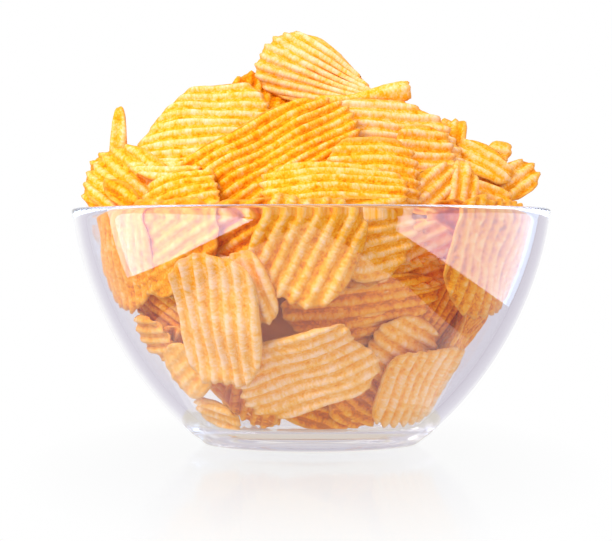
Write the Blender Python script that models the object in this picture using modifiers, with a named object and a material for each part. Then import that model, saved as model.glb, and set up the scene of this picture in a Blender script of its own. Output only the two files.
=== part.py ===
"""A clear pressed-glass bowl heaped with ridged potato crisps.

Metres, +Z up. The origin is the middle of the bowl's foot, on the surface it stands on.
Two solids: glass_bowl, turned from one profile, and crisp_heap, the loose pile taken as one
body out to its uneven outline. The pile lies inside the bowl and stands in a mound above it.
"""

import math

import bmesh
import bpy
import numpy as np
from mathutils import Matrix, Vector

# The bowl.
RIM_RADIUS = 0.0850
BOWL_HEIGHT = 0.0837
WALL = 0.0046
FLOOR_Z = 0.0060
FOOT_RADIUS = 0.0376
FOOT_HEIGHT = 0.0034
FOOT_STEP = 0.0004
FOOT_RING_WIDTH = 0.0060
FOOT_EDGE = (0.0010, 0.0008)
RECESS = 0.0008
RECESS_SLOPE = 0.0015
FLOOR_EASE_TOP = 0.0120
FLOOR_EASE = 0.0045
RIM_BLEND_IN = 0.0020
RIM_BLEND_OUT = 0.0040

# The bowl's side is a superellipse: its half width, half depth, level of its widest place and
# its power, 2 for a true ellipse and less for a straighter side.
SIDE_HALF_WIDTH = 0.0852
SIDE_HALF_DEPTH = 0.1047
SIDE_LEVEL = 0.0893
SIDE_POWER = 1.745
INNER_HALF_DEPTH = 0.0993

TURN_STEPS = 64
MERGE = 0.00001

# The pile.
GAP = 0.0003
WALL_CLEARANCE = 0.0016
MOUND_EDGE_Z = 0.0930
MOUND_RISE = 0.0430
MOUND_RADIUS = 0.0815
MOUND_POWER = 0.8
# Above the rim the pile may lean out past the glass: by this slope, up to this height.
OVERHANG_START = 0.0010
OVERHANG_HEIGHT = 0.0100
OVERHANG_SLOPE = 0.25
HEAP_CENTRE_Z = 0.0600
CORE_SHARE = 0.88
LAID_CRISPS = 64
CRISP_REACH = (0.017, 0.027)
CRISP_TILT = 0.42
LONGEST_RAY = 0.110
RAY_STEP = 0.0004
SEED = 11

# Crisps that stand out of the mound: middle (x, y, z), length, width, then in degrees how far the
# face is turned from the front about Z, how far it leans back, and how far its length is turned
# from upright in its own plane. The last value is how much the crisp bows across its length.
STANDING_CRISPS = (
    ((-0.004, 0.000, 0.128), 0.040, 0.032, 8, 14, -16, 0.0040),
    ((-0.067, -0.004, 0.103), 0.036, 0.022, 76, 4, 4, 0.0030),
    ((0.018, -0.008, 0.121), 0.046, 0.014, 6, 40, 78, 0.0030),
    ((-0.040, -0.012, 0.111), 0.048, 0.034, -24, 40, 70, 0.0050),
    ((-0.014, -0.046, 0.103), 0.060, 0.036, 4, 34, 58, 0.0050),
    ((0.034, -0.040, 0.105), 0.044, 0.034, 16, 30, 88, 0.0040),
    ((0.052, -0.006, 0.109), 0.026, 0.018, 30, 20, 20, 0.0030),
    ((0.066, 0.004, 0.101), 0.034, 0.020, 60, 14, 52, 0.0040),
    ((-0.072, -0.014, 0.094), 0.030, 0.026, -40, 10, 30, 0.0040),
    ((-0.024, 0.042, 0.112), 0.046, 0.036, 160, 20, 30, 0.0050),
    ((0.034, 0.046, 0.104), 0.044, 0.034, 200, 24, -30, 0.0040),
    ((0.004, 0.062, 0.097), 0.036, 0.028, 184, 30, 70, 0.0040),
    ((-0.058, 0.034, 0.101), 0.036, 0.028, 120, 26, 10, 0.0040),
)
CRISP_THICKNESS = 0.0034
CRISP_SIDES = 14
CRISP_RINGS = 6


def in_collection(name, hidden=False):
    """A collection of this name in the scene, hidden from renders if it holds helpers."""
    made = bpy.data.collections.new(name)
    bpy.context.scene.collection.children.link(made)
    made.hide_render = hidden
    return made


def material(name, colour, roughness, transmission=0.0, ior=1.5):
    """A Principled material with one colour."""
    made = bpy.data.materials.new(name)
    made.use_nodes = True
    shader = made.node_tree.nodes["Principled BSDF"]
    shader.inputs["Base Color"].default_value = (*colour, 1.0)
    shader.inputs["Roughness"].default_value = roughness
    shader.inputs["Metallic"].default_value = 0.0
    shader.inputs["Transmission Weight"].default_value = transmission
    shader.inputs["IOR"].default_value = ior
    return made


def side_radius(z, half_width, half_depth):
    """The radius of a superellipse side at height z."""
    drop = np.clip((SIDE_LEVEL - z) / half_depth, 0.0, 1.0)
    return half_width * (1.0 - drop**SIDE_POWER) ** (1.0 / SIDE_POWER)


def outer_radius(z):
    return side_radius(z, SIDE_HALF_WIDTH, SIDE_HALF_DEPTH)


def inner_radius(z):
    return side_radius(z, SIDE_HALF_WIDTH - WALL, INNER_HALF_DEPTH)


def arc(centre, radius, start, end, steps):
    """Points of a round stretch of the profile, from one angle to another in degrees."""
    angles = np.radians(np.linspace(start, end, steps))
    return [(centre[0] + radius * math.cos(a), centre[1] + radius * math.sin(a)) for a in angles]


def fillet(before, corner, after, reach, steps):
    """A corner eased by a quadratic curve that starts and ends `reach` from it."""
    corner = Vector(corner)
    start = corner + (Vector(before) - corner).normalized() * reach
    end = corner + (Vector(after) - corner).normalized() * reach
    share = np.linspace(0.0, 1.0, steps)
    return [tuple(start * (1 - t) ** 2 + corner * 2 * t * (1 - t) + end * t**2) for t in share]


def bowl_profile():
    """The bowl's section from the middle of its floor, up inside, over the rim and down outside."""
    rim_round = WALL / 2
    rim_centre = (RIM_RADIUS - rim_round, BOWL_HEIGHT - rim_round)
    floor_edge = (float(inner_radius(FLOOR_Z)), FLOOR_Z)
    wall_start = (float(inner_radius(FLOOR_EASE_TOP)), FLOOR_EASE_TOP)
    ring_radius = FOOT_RADIUS - FOOT_RING_WIDTH
    points = [(0.0, FLOOR_Z)]
    points += fillet((0.0, FLOOR_Z), floor_edge, wall_start, FLOOR_EASE, 5)
    for z in np.linspace(FLOOR_EASE_TOP, rim_centre[1] - RIM_BLEND_IN, 11):
        points.append((float(inner_radius(z)), float(z)))
    points += arc(rim_centre, rim_round, 172, 4, 6)
    for z in np.linspace(rim_centre[1] - RIM_BLEND_OUT, FOOT_HEIGHT, 12):
        points.append((float(outer_radius(z)), float(z)))
    points.append((float(outer_radius(FOOT_HEIGHT)) - FOOT_STEP, FOOT_HEIGHT - FOOT_STEP))
    points.append((FOOT_RADIUS + FOOT_EDGE[0], FOOT_EDGE[1]))
    points.append((FOOT_RADIUS, 0.0))
    points.append((ring_radius, 0.0))
    points.append((ring_radius - RECESS_SLOPE, RECESS))
    points.append((0.0, RECESS))
    return points


def turned(name, points, steps, collection):
    """An object with this profile, turned about Z by a Screw modifier."""
    mesh = bpy.data.meshes.new(name)
    mesh.from_pydata([(r, 0.0, z) for r, z in points], [(i, i + 1) for i in range(len(points) - 1)], [])
    made = bpy.data.objects.new(name, mesh)
    collection.objects.link(made)
    screw = made.modifiers.new("turn", "SCREW")
    screw.axis = "Z"
    screw.steps = steps
    screw.render_steps = steps
    screw.use_smooth_shade = True
    screw.use_merge_vertices = True
    screw.merge_threshold = MERGE
    return made


def mound_top(radius):
    """The height of the mound's smooth envelope at this distance from the middle."""
    share = np.clip(1.0 - (radius / MOUND_RADIUS) ** 2, 0.0, 1.0)
    return MOUND_EDGE_Z + MOUND_RISE * share**MOUND_POWER


def widest(z):
    """How far out the pile may reach at height z: clear of the wall, and past the rim above it."""
    inside = inner_radius(np.minimum(z, BOWL_HEIGHT)) - WALL_CLEARANCE
    above = np.clip(z - BOWL_HEIGHT - OVERHANG_START, 0.0, OVERHANG_HEIGHT)
    return inside + above * OVERHANG_SLOPE


def envelope_reach(directions):
    """How far each ray from the pile's middle goes before it leaves the smooth envelope."""
    steps = np.arange(0.0, LONGEST_RAY, RAY_STEP)
    flat = np.linalg.norm(directions[:, :2], axis=1)
    radius = flat[:, None] * steps
    height = HEAP_CENTRE_Z + directions[:, 2:] * steps
    inside = (height < mound_top(radius)) & (radius < widest(height)) & (height > FLOOR_Z + GAP)
    return np.where(inside, steps, 0.0).max(axis=1)


def laid_crisps():
    """Middles, normals and radii of the crisps that lie on the envelope, spread by the golden angle."""
    random = np.random.default_rng(SEED)
    index = np.arange(LAID_CRISPS) + 0.5
    up = 1.0 - 2.0 * index / LAID_CRISPS
    turn = index * math.pi * (3.0 - math.sqrt(5.0))
    level = np.sqrt(1.0 - up**2)
    out = np.stack([level * np.cos(turn), level * np.sin(turn), up], axis=1)
    share = random.uniform(CORE_SHARE, 1.01, LAID_CRISPS)
    middles = out * (envelope_reach(out) * share)[:, None]
    normals = out + random.normal(0.0, CRISP_TILT, out.shape)
    normals /= np.linalg.norm(normals, axis=1, keepdims=True)
    return middles, normals, random.uniform(*CRISP_REACH, LAID_CRISPS)


def heap_reach(directions):
    """The pile's outline along each ray: the outermost crisp it meets, or else the core."""
    envelope = envelope_reach(directions)
    reach = envelope * CORE_SHARE
    for middle, normal, radius in zip(*laid_crisps(), strict=True):
        along = directions @ normal
        distance = (middle @ normal) / np.where(np.abs(along) > 0.2, along, np.inf)
        hit = directions * distance[:, None]
        met = (np.linalg.norm(hit - middle, axis=1) < radius) & (distance > 0)
        reach = np.where(met, np.maximum(reach, distance), reach)
    return np.minimum(reach, envelope)


def heap_mesh():
    """A ball of small triangles whose points are moved out to the pile's outline."""
    work = bmesh.new()
    bmesh.ops.create_icosphere(work, subdivisions=4, radius=1.0)
    directions = np.array([v.co for v in work.verts])
    directions /= np.linalg.norm(directions, axis=1, keepdims=True)
    points = directions * heap_reach(directions)[:, None] + (0.0, 0.0, HEAP_CENTRE_Z)
    for vertex, point in zip(work.verts, points, strict=True):
        vertex.co = point
    mesh = bpy.data.meshes.new("crisp_heap")
    work.to_mesh(mesh)
    work.free()
    return mesh


def standing_crisp(place, length, width, turn, lean, spin, bow):
    """A helper object to be joined to the pile: a bowed oval crisp, made from a squashed ball."""
    work = bmesh.new()
    bmesh.ops.create_uvsphere(work, u_segments=CRISP_SIDES, v_segments=CRISP_RINGS, radius=0.5)
    for vertex in work.verts:
        across, through, along = vertex.co
        bent = bow * (4.0 * along**2 - 0.5)
        vertex.co = (across * width, through * CRISP_THICKNESS + bent, along * length)
    mesh = bpy.data.meshes.new("standing_crisp")
    work.to_mesh(mesh)
    work.free()
    made = bpy.data.objects.new("standing_crisp", mesh)
    turned_out = Matrix.Rotation(math.radians(turn), 4, "Z") @ Matrix.Rotation(math.radians(-lean), 4, "X")
    made.matrix_world = Matrix.Translation(place) @ turned_out @ Matrix.Rotation(math.radians(spin), 4, "Y")
    made.hide_render = True
    made.display_type = "WIRE"
    return made


def main():
    for old in list(bpy.data.objects):
        bpy.data.objects.remove(old)
    parts = in_collection("bowl_of_crisps")
    helpers = in_collection("crisps_to_join", hidden=True)

    bowl = turned("glass_bowl", bowl_profile(), TURN_STEPS, parts)
    bowl.data.materials.append(material("clear_glass", (0.93, 0.94, 0.96), 0.02, transmission=1.0))

    heap = bpy.data.objects.new("crisp_heap", heap_mesh())
    heap.data.materials.append(material("fried_potato", (0.95, 0.58, 0.12), 0.55))
    parts.objects.link(heap)
    for crisp in STANDING_CRISPS:
        joined = heap.modifiers.new("standing_crisp", "BOOLEAN")
        joined.operation = "UNION"
        joined.object = standing_crisp(*crisp)
        helpers.objects.link(joined.object)


main()
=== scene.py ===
# %% [markdown]
# # A glass bowl of ridged crisps
# A clear pressed-glass bowl holds a tall heap of ridged potato crisps. The lesson builds it in the
# order of the real thing: the bowl first, then one crisp, then many of them, and at the end
# the finishes, the table, the light and the camera. Everything is in metres, +Z is up, and the
# origin is the middle of the bowl's foot.

# %% Load the frame
import math

import bpy
import mathutils
import numpy as np
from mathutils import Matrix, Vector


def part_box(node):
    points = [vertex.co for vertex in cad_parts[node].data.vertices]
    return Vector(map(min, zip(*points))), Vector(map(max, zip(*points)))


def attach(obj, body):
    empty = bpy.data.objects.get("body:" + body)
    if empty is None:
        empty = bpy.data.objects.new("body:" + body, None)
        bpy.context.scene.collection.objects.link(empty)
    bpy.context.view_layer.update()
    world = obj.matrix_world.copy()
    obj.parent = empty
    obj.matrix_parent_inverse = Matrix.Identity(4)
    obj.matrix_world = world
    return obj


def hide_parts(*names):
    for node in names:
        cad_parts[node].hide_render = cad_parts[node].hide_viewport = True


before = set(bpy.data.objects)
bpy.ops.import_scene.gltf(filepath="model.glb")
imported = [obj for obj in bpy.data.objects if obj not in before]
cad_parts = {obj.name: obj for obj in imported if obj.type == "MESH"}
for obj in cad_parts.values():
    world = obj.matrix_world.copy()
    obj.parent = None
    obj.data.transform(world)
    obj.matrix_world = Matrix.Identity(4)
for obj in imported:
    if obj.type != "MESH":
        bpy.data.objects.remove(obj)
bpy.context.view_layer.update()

MM = 0.001
BODY = "root"
bowl_low, bowl_high = (np.array(corner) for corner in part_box("glass_bowl"))
print("bowl, mm:", np.round((bowl_high - bowl_low) / MM, 1))

# %% [markdown]
# ## Small helpers
# Colours are written as sRGB hex, as a paint chart gives them, and turned to linear light in one
# place. A mesh is made from whole arrays: points, faces of four corners, and values per point.


# %% Colours and meshes
def linear(hex_colour):
    """An sRGB hex colour as linear RGBA: c/12.92 below 0.04045, else ((c + 0.055)/1.055)^2.4."""
    channels = np.array([int(hex_colour[i : i + 2], 16) for i in (1, 3, 5)]) / 255
    low = channels / 12.92
    high = ((channels + 0.055) / 1.055) ** 2.4
    return (*np.where(channels <= 0.04045, low, high).tolist(), 1.0)


def made_object(name, points, faces, values=None, maps=None):
    """A smooth-shaded object from (n, 3) points, (m, 4) faces, values per point and UVs per corner."""
    mesh = bpy.data.meshes.new(name)
    mesh.vertices.add(len(points))
    mesh.vertices.foreach_set("co", points.astype(np.float32).ravel())
    mesh.loops.add(faces.size)
    mesh.loops.foreach_set("vertex_index", faces.astype(np.int32).ravel())
    mesh.polygons.add(len(faces))
    mesh.polygons.foreach_set("loop_start", np.arange(0, faces.size, 4, dtype=np.int32))
    mesh.update(calc_edges=True)
    mesh.polygons.foreach_set("use_smooth", np.ones(len(faces), bool))
    for label, numbers in (values or {}).items():
        layer = mesh.attributes.new(label, "FLOAT", "POINT")
        layer.data.foreach_set("value", numbers.astype(np.float32))
    for label, corners in (maps or {}).items():
        layer = mesh.uv_layers.new(name=label)
        layer.data.foreach_set("uv", corners.astype(np.float32).ravel())
    mesh.validate()
    made = bpy.data.objects.new(name, mesh)
    bpy.context.scene.collection.objects.link(made)
    print(f"{name}: {len(points)} points, {2 * len(faces)} triangles")
    return made


print("a golden yellow in linear light:", np.round(linear("#FCB02E"), 3))

# %% [markdown]
# ## The bowl
# A pressed bowl is a turned shape: molten glass is squeezed between a mould and a plunger, and the
# rim is melted smooth in a flame. So it is one profile, carried round the axis. The side is a
# superellipse, a curve between an ellipse and a straight line, and its inner face has the same
# form a wall's thickness further in. Many fine steps keep the reflections in it unbroken.

# %% The bowl's profile
RIM_RADIUS = float(bowl_high[0])
BOWL_HEIGHT = float(bowl_high[2])
WALL = 4.6 * MM
RIM_ROUND = 1.3 * MM
FLOOR_Z = 6.0 * MM
FOOT_RADIUS = 37.6 * MM
FOOT_HEIGHT = 3.4 * MM
FOOT_RING = 6.0 * MM
RECESS = 0.8 * MM
SIDE_LEVEL = 89.3 * MM
SIDE_POWER = 1.745
OUTER_SIDE = (85.2 * MM, 104.7 * MM)
INNER_SIDE = (OUTER_SIDE[0] - WALL, 99.3 * MM)


def side_radius(z, half_sizes):
    """A superellipse's radius at height z: a (1 - ((level - z)/b)^n)^(1/n)."""
    drop = np.clip((SIDE_LEVEL - z) / half_sizes[1], 0.0, 1.0)
    return half_sizes[0] * (1.0 - drop**SIDE_POWER) ** (1.0 / SIDE_POWER)


def bowl_profile():
    """Radii and heights from the floor's middle, up inside, over the round rim and down outside."""
    rim_middle = np.array([RIM_RADIUS - WALL / 2, BOWL_HEIGHT - RIM_ROUND])
    floor_r = np.linspace(0.0, 1.0, 14) * side_radius(FLOOR_Z, INNER_SIDE)
    floor = np.stack([floor_r, FLOOR_Z + 1.2 * MM * (floor_r / floor_r[-1]) ** 6], axis=1)
    inside_z = np.linspace(floor[-1, 1], rim_middle[1] - 2 * MM, 50)[1:]
    inside = np.stack([side_radius(inside_z, INNER_SIDE), inside_z], axis=1)
    turn = np.radians(np.linspace(172, 6, 15))
    rim = rim_middle + np.stack([WALL / 2 * np.cos(turn), RIM_ROUND * np.sin(turn)], axis=1)
    outside_z = np.linspace(rim_middle[1] - 3 * MM, FOOT_HEIGHT, 60)
    outside = np.stack([side_radius(outside_z, OUTER_SIDE), outside_z], axis=1)
    foot = np.array([
        [outside[-1, 0] - 0.5 * MM, FOOT_HEIGHT - 0.35 * MM],
        [outside[-1, 0] - 1.4 * MM, FOOT_HEIGHT - 0.9 * MM],
        [FOOT_RADIUS + 1.4 * MM, 1.2 * MM],
        [FOOT_RADIUS + 0.7 * MM, 0.5 * MM],
        [FOOT_RADIUS, 0.12 * MM],
        [FOOT_RADIUS - 1.0 * MM, 0.0],
        [FOOT_RADIUS - FOOT_RING + 0.6 * MM, 0.0],
        [FOOT_RADIUS - FOOT_RING, 0.12 * MM],
        [FOOT_RADIUS - FOOT_RING - 1.2 * MM, RECESS - 0.15 * MM],
        [FOOT_RADIUS - FOOT_RING - 2.4 * MM, RECESS],
        [0.0, RECESS],
    ])
    return np.concatenate([floor, inside, rim, outside, foot])


print("points of the profile:", len(bowl_profile()))

# %% [markdown]
# The profile is carried round in 288 steps. At the two poles, the middles of the floor and of the
# recess, the last ring closes on one point.


# %% The bowl, turned
BOWL_STEPS = 288


def turned(profile, steps):
    """Points and faces of a profile carried round Z: (r cos a, r sin a, z), one point at each pole."""
    angles = np.arange(steps) * 2 * math.pi / steps
    ring = profile[1:-1]
    shell = np.stack([
        np.outer(ring[:, 0], np.cos(angles)),
        np.outer(ring[:, 0], np.sin(angles)),
        np.repeat(ring[:, 1:], steps, axis=1),
    ], axis=2)
    poles = [[0.0, 0.0, profile[0, 1]], [0.0, 0.0, profile[-1, 1]]]
    points = np.concatenate([shell.reshape(-1, 3), poles])
    row, column = np.meshgrid(np.arange(len(ring) - 1), np.arange(steps), indexing="ij")
    after = (column + 1) % steps
    sides = np.stack([
        row * steps + column,
        (row + 1) * steps + column,
        (row + 1) * steps + after,
        row * steps + after,
    ], axis=2).reshape(-1, 4)
    first, last, base = len(points) - 2, len(points) - 1, (len(ring) - 1) * steps
    here, there = column[0], after[0]
    low = np.stack([np.full(steps, first), here, there], axis=1)
    high = np.stack([np.full(steps, last), base + there, base + here], axis=1)
    return points, sides.tolist() + low.tolist() + high.tolist()


bowl_points, bowl_faces = turned(bowl_profile(), BOWL_STEPS)
bowl_mesh = bpy.data.meshes.new("pressed_glass_bowl")
bowl_mesh.from_pydata(bowl_points.tolist(), [], bowl_faces)
bowl_mesh.polygons.foreach_set("use_smooth", np.ones(len(bowl_mesh.polygons), bool))
bowl = bpy.data.objects.new("pressed_glass_bowl", bowl_mesh)
bpy.context.scene.collection.objects.link(bowl)
print("pressed_glass_bowl:", 2 * len(bowl_faces) - 2 * BOWL_STEPS, "triangles")

# %% [markdown]
# ## One crisp
# A ridged crisp is a thin slice of potato, cut with a wavy blade: an uneven oval, 40 to 70 mm
# long, with ridges about 4 mm apart. In the hot oil it dries, shrinks unevenly and curls. It is
# worked out as a grid: one parameter runs across the ridges and one along them. The grid's columns
# follow the ridges, so eight of them to a ridge draw the wave cleanly. The flat wavy sheet is
# rolled, then given its thickness along its own normals and a rounded edge.

# %% The sheet's outline and wave
PITCH = 4.1 * MM
RIDGE = 0.8 * MM
THICKNESS = 1.3 * MM
TOOTH = 0.55 * MM
WARP = 0.9 * MM
SHEET_END = 0.985  # the outline closes at this share of the half width, where it still has a length


def ripples(x, y, size, random, waves=7):
    """A smooth uneven field, mostly between -1 and 1: the sum of n cosines of random direction,
    length and phase, over the square root of n."""
    total = np.zeros(np.broadcast(x, y).shape)
    for _ in range(waves):
        turn = random.uniform(0, 2 * math.pi)
        pace = 2 * math.pi / (size * random.uniform(0.7, 1.6))
        along = x * math.cos(turn) + y * math.sin(turn)
        total += np.cos(along * pace + random.uniform(0, 2 * math.pi))
    return total / math.sqrt(waves)


def wave(x, sharp=0.38):
    """The cut's wave: (cos p + s cos 2p)/(1 + s), p being the turns of the ridges. Its crests are
    narrow, at 1, and its grooves wide and shallow, at about -0.5."""
    phase = 2 * math.pi * x / PITCH
    return (np.cos(phase) + sharp * np.cos(2 * phase)) / (1 + sharp)


def flat_sheet(length, width, cuts, blunt, phase, tooth, random, fine):
    """Grid x, y of a flat crisp, with `fine` columns to a ridge and rows four times as far apart.
    At x the sheet runs between +/- (L/2)(1 - |2x/W|^p)^(1/p), p being `blunt`, made uneven by
    ripples and toothed by the wave, as the crests stand out at the cut ends. A cut keeps what lies
    under the line x cos a + y sin a = d, with a ragged edge."""
    columns = max(8, int(round(width * SHEET_END / PITCH * fine)))
    rows = max(6, int(round(length / PITCH * fine * 0.24)))
    share = np.linspace(-SHEET_END, SHEET_END, columns)
    x = share * width / 2
    half = length / 2 * (1 - np.abs(share) ** blunt) ** (1 / blunt)
    uneven = [1 + 0.07 * ripples(x, 0 * x + side, width * 0.7, random) for side in (0.0, 1.0)]
    ragged = [0.35 * MM * ripples(x, 0 * x, 3.2 * MM, random) for _ in (0, 1)]
    teeth = tooth * wave(x + phase)
    high = half * uneven[0] + ragged[0] + teeth
    low = -half * uneven[1] - ragged[1] - teeth
    for angle, distance in cuts:
        tear = ripples(x, 0 * x, 5 * MM, random) * 0.7 * MM + teeth
        rise = math.sin(math.radians(angle))
        rise = math.copysign(max(abs(rise), 0.02), rise)
        line = (distance * MM - x * math.cos(math.radians(angle))) / rise + tear
        if rise > 0:
            high = np.minimum(high, line)
        else:
            low = np.maximum(low, line)
    kept = np.flatnonzero(high - low > 1.5 * MM)
    kept = slice(kept[0], kept[-1] + 1)
    x, low = x[kept], low[kept]
    high = np.maximum(high[kept], low + 1.2 * MM)
    rise = np.linspace(0, 1, rows)[:, None]
    return np.broadcast_to(x, (rows, len(x))).copy(), low + (high - low) * rise


print("ridges across a crisp 40 mm wide:", round(40 * MM / PITCH, 1))

# %% [markdown]
# Rolling is the bend of a sheet round a cylinder: the distance s along the roll becomes an arc of
# angle k s. A crisp that is rolled a little both ways gets the saddle or the dish of a real one.


# %% Rolling
def rolled(x, y, z, along, per_cm):
    """Bends the sheet by k = per_cm degrees each centimetre, in the direction `along`, in degrees
    from the x direction: s becomes sin(k s)/k, and the sheet rises by (1 - cos(k s))/k. Past 2.6
    radians it goes on straight."""
    c, s = math.cos(math.radians(along)), math.sin(math.radians(along))
    far, side = x * c + y * s, -x * s + y * c
    bend = math.radians(per_cm) / 0.01
    if abs(bend) < 1e-3:
        bend = 1e-3
    angle = np.clip(far * bend, -2.6, 2.6)
    beyond = far - angle / bend
    reach = np.sin(angle) / bend - z * np.sin(angle) + beyond * np.cos(angle)
    rise = (1 - np.cos(angle)) / bend + z * np.cos(angle) + beyond * np.sin(angle)
    return reach * c - side * s, reach * s + side * c, rise


edge_rise = rolled(np.array([20 * MM]), np.zeros(1), np.zeros(1), 0, -9)[2][0]
print("rolled by -9 degrees a centimetre, 20 mm out the sheet drops, mm:", round(-edge_rise / MM, 1))

# %% [markdown]
# The middle sheet becomes a solid: its points move half a thickness each way along the normal, and
# a ring of points a little further out closes the edge round. The order of the corners makes all
# the faces point outwards.


# %% From sheet to solid
EDGE_THIN = 0.62
EDGE_OUT = 0.30


def unit(vectors):
    """Each vector divided by its length."""
    return vectors / np.maximum(np.linalg.norm(vectors, axis=-1, keepdims=True), 1e-12)


def border(rows, columns):
    """Row and column numbers once round the grid's border, anticlockwise."""
    row = np.concatenate([
        np.zeros(columns - 1, int),
        np.arange(rows - 1),
        np.full(columns - 1, rows - 1),
        np.arange(rows - 1, 0, -1),
    ])
    column = np.concatenate([
        np.arange(columns - 1),
        np.full(rows - 1, columns - 1),
        np.arange(columns - 1, 0, -1),
        np.zeros(rows - 1, int),
    ])
    return row, column


def solid_faces(rows, columns):
    """Faces of the top grid, the turned-over bottom grid and the two strips round the edge, and for
    each of them 0 or 1, the side of the crisp it is coloured with."""
    count = rows * columns
    row, column = np.meshgrid(np.arange(rows - 1), np.arange(columns - 1), indexing="ij")
    corner = (row * columns + column).ravel()
    top = np.stack([corner, corner + 1, corner + columns + 1, corner + columns], axis=1)
    bottom = top[:, ::-1] + count
    loop_row, loop_column = border(rows, columns)
    loop = loop_row * columns + loop_column
    after = np.roll(loop, -1)
    ring = 2 * count + np.arange(len(loop))
    ring_after = np.roll(ring, -1)
    upper = np.stack([after, loop, ring, ring_after], axis=1)
    lower = np.stack([ring_after, ring, loop + count, after + count], axis=1)
    face_side = np.repeat([0, 1, 0, 1], [len(top), len(bottom), len(upper), len(lower)])
    return np.concatenate([top, bottom, upper, lower]), face_side


def thickened(middle):
    """Top, bottom and edge-ring points of a sheet given as a (rows, columns, 3) grid: the sheet
    and its normal times +/- t/2, thinner at the border, and the border moved 0.3 t outwards."""
    along_rows = np.gradient(middle, axis=0)
    along_columns = np.gradient(middle, axis=1)
    normal = unit(np.cross(along_columns, along_rows))
    rows, columns = middle.shape[:2]
    loop = border(rows, columns)
    thick = np.full((rows, columns, 1), THICKNESS / 2)
    thick[loop] *= EDGE_THIN
    edge = middle[loop]
    heading = unit(np.roll(edge, -1, axis=0) - np.roll(edge, 1, axis=0))
    outward = unit(np.cross(heading, normal[loop]))
    ring = edge + outward * THICKNESS * EDGE_OUT
    top = (middle + normal * thick).reshape(-1, 3)
    bottom = (middle - normal * thick).reshape(-1, 3)
    return np.concatenate([top, bottom, ring]), loop


print("faces of a crisp of 20 rows and 60 columns:", len(solid_faces(20, 60)[0]))

# %% [markdown]
# ## Laying a crisp down
# A pile collects the crisps of one piece: their points, faces and the values that the finish
# reads. Those values are the height on the ridge, between -1 and 1 and highest on a crest, the
# distance to the edge, and a tone that differs from crisp to crisp. `run` is the direction of the
# ridges as they are seen from the front, `turn` swings the face to the right and `lean` tips it
# back to look upwards.


# %% Piles of crisps
class Pile:
    """The crisps of one piece, laid one after the other."""

    def __init__(self, name):
        self.name = name
        self.points, self.faces, self.count, self.laid = [], [], 0, 0
        self.values = {"ridge": [], "edge": [], "tone": []}
        self.sheets = []

    def lay(self, points, faces, values, sheet):
        """Adds one crisp: its faces are counted on from the points that are already there."""
        self.points.append(points)
        self.faces.append(faces + self.count)
        self.count += len(points)
        self.laid += 1
        for label, numbers in values.items():
            self.values[label].append(numbers)
        self.sheets.append(sheet)

    def build(self):
        """Joins the crisps to one object. Its map "Sheet" is in millimetres on each flat crisp, and
        "OFBake" packs all of them on one square, side by side."""
        side = math.ceil(math.sqrt(2 * self.laid))
        cells = [packed(index, side, *sheet) for index, sheet in enumerate(self.sheets)]
        maps = {
            "Sheet": np.concatenate([flat[faces] / MM for flat, faces, _ in self.sheets]),
            "OFBake": np.concatenate(cells),
        }
        values = {label: np.concatenate(parts) for label, parts in self.values.items()}
        points, faces = np.concatenate(self.points), np.concatenate(self.faces)
        return made_object(self.name, points, faces, values, maps)


def packed(index, side, flat, faces, face_side):
    """A crisp's place on the square map of its piece: its two faces take two cells of a grid, with
    3 % left free all round."""
    low = flat.min(axis=0)
    scale = 0.94 / max(flat.max(axis=0) - low)
    place = (flat - low) * scale + 0.03
    number = 2 * index + face_side
    cell = np.stack([number % side, number // side], axis=1)
    return (place[faces] + cell[:, None, :]) / side


def facing(run, turn, lean):
    """The crisp's axes as columns: across the ridges, along them, and its normal. They are set up
    in the plane x, z, then tipped about x by `lean`, then swung about z by `turn`."""
    r, t, b = (math.radians(value) for value in (run, turn, -lean))
    along = np.array([math.cos(r), 0.0, math.sin(r)])
    normal = np.array([0.0, -1.0, 0.0])
    axes = np.stack([np.cross(along, normal), along, normal], axis=1)
    tip = np.array([[1, 0, 0], [0, math.cos(b), -math.sin(b)], [0, math.sin(b), math.cos(b)]])
    swing = np.array([[math.cos(t), -math.sin(t), 0], [math.sin(t), math.cos(t), 0], [0, 0, 1]])
    return swing @ tip @ axes


print("a crisp's normal when it leans back by 30 degrees:", np.round(facing(0, 0, 30)[:, 2], 2))

# %% [markdown]
# Real crisps lie on each other and don't run through each other. A physics simulation of curled,
# ridged sheets is slow and can't be told where a crisp should end up, so covers are used instead.
# A cover is a map of what has been laid so far, seen from one side: for each cell the depth of the
# deepest surface. A new crisp slides inwards until it is behind what covers it. One cover looks at
# the heap from the front, one from all round, with its cells round the heap's middle, and one from
# above.


# %% Covers
class FrontCover:
    """Seen from the front: the cells are squares in x and z, and depth is y."""

    level = 70 * MM

    def __init__(self, half=100 * MM, cell=2 * MM):
        self.half, self.cell = half, cell
        self.deepest = np.full((int(2 * half / cell),) * 2, -9.0)

    def seen(self, points):
        """The points' cells and depths."""
        flat = np.stack([points[..., 0], points[..., 2] - self.level]).reshape(2, -1)
        return self.squares(flat), points[..., 1].ravel()

    def squares(self, flat):
        """Cell numbers (flat + half)/cell, kept on the map."""
        number = ((flat + self.half) / self.cell).astype(int)
        return tuple(np.clip(number, 0, len(self.deepest) - 1))

    def inwards(self, points):
        """The direction that a crisp slides in."""
        return np.array([0.0, 1.0, 0.0])

    def settle(self, points, gap, most):
        """Slides the points inwards until all but 3 % of them lie `gap` behind what is laid, by
        `most` at most, in three tries."""
        moved = 0.0
        for _ in range(3):
            place, depth = self.seen(points)
            need = float(np.percentile(self.deepest[place] - depth, 97)) + gap
            if need <= 0 or moved >= most:
                break
            need = min(need, most - moved)
            moved += need
            points = points + self.inwards(points) * need
        return points

    def note(self, points):
        """Keeps the larger depth in each cell that the points fall in."""
        place, depth = self.seen(points)
        np.maximum.at(self.deepest, place, depth)


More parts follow.
